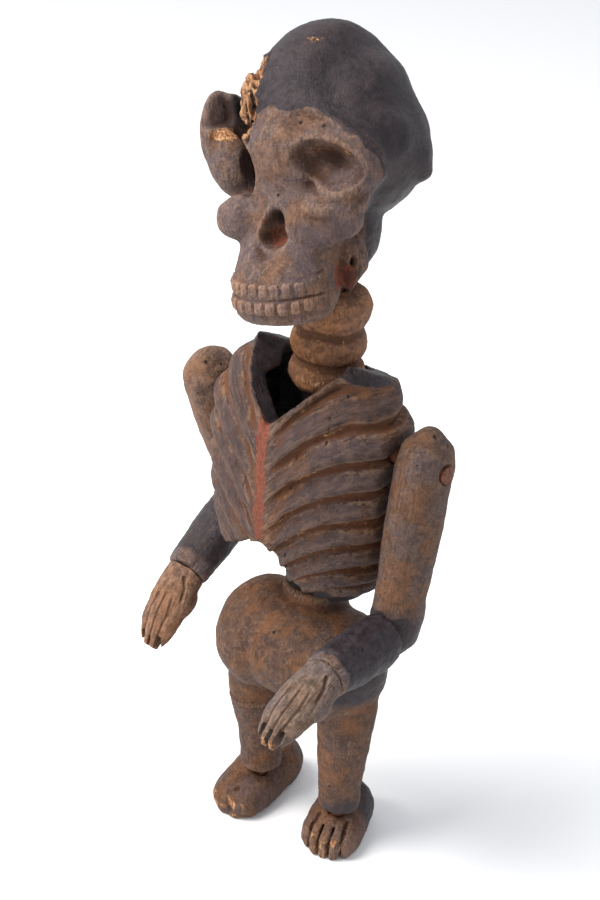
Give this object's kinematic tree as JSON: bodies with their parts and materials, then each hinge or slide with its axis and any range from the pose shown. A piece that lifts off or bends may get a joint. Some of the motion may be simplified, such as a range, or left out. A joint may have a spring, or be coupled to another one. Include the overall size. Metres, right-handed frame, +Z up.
{
  "type": "carved skeleton figure",
  "caption": "Standing wooden folk skeleton with a hollow ribbed chest, arms that swing on shoulder pegs, and a ringed neck that turns in the chest.",
  "frame": {"origin": "on the ground, under the middle of the figure's box", "axes": "+Z up, the figure faces -Y, +X is the figure's own left"},
  "size_m": [0.1628, 0.1862, 0.4593],
  "materials": {
    "skull_patina": "aged wood, dark worn patina over the crown and warm brown on the face",
    "carved_wood": "aged carved wood, dry and matt, with drying cracks",
    "limb_wood": "aged smooth wood, matt brown with dark stains",
    "worn_wood": "bare weathered wood, matt",
    "peg_wood": "reddish wooden dowel, matt"
  },
  "bodies": {
    "trunk": {"ribcage": "carved_wood", "hips_and_legs": "limb_wood", "waist_peg": "peg_wood", "left_foot": "limb_wood", "right_foot": "limb_wood", "left_ankle_peg": "peg_wood", "right_ankle_peg": "peg_wood", "left_shoulder_peg": "peg_wood", "right_shoulder_peg": "peg_wood"},
    "head": {"skull": "skull_patina", "neck": "carved_wood", "skull_peg": "peg_wood"},
    "left_arm": {"left_upper_arm": "limb_wood", "left_forearm": "limb_wood", "left_hand": "worn_wood", "left_elbow_peg": "peg_wood", "left_wrist_peg": "peg_wood"},
    "right_arm": {"right_upper_arm": "limb_wood", "right_forearm": "limb_wood", "right_hand": "worn_wood", "right_elbow_peg": "peg_wood", "right_wrist_peg": "peg_wood"}
  },
  "joints": [
    {"name": "head_turn", "type": "hinge", "parent": "trunk", "child": "head", "pos_m": [0, 0.0281, 0.283], "axis": [0, 0, 1], "range_deg": [-45, 45]},
    {"name": "left_shoulder", "type": "hinge", "parent": "trunk", "child": "left_arm", "pos_m": [0.0675, 0.0211, 0.264], "axis": [-1, 0, 0], "range_deg": [-62, 93]},
    {"name": "right_shoulder", "type": "hinge", "parent": "trunk", "child": "right_arm", "pos_m": [-0.0675, 0.0211, 0.264], "axis": [-1, 0, 0], "range_deg": [-30, 125]}
  ]
}
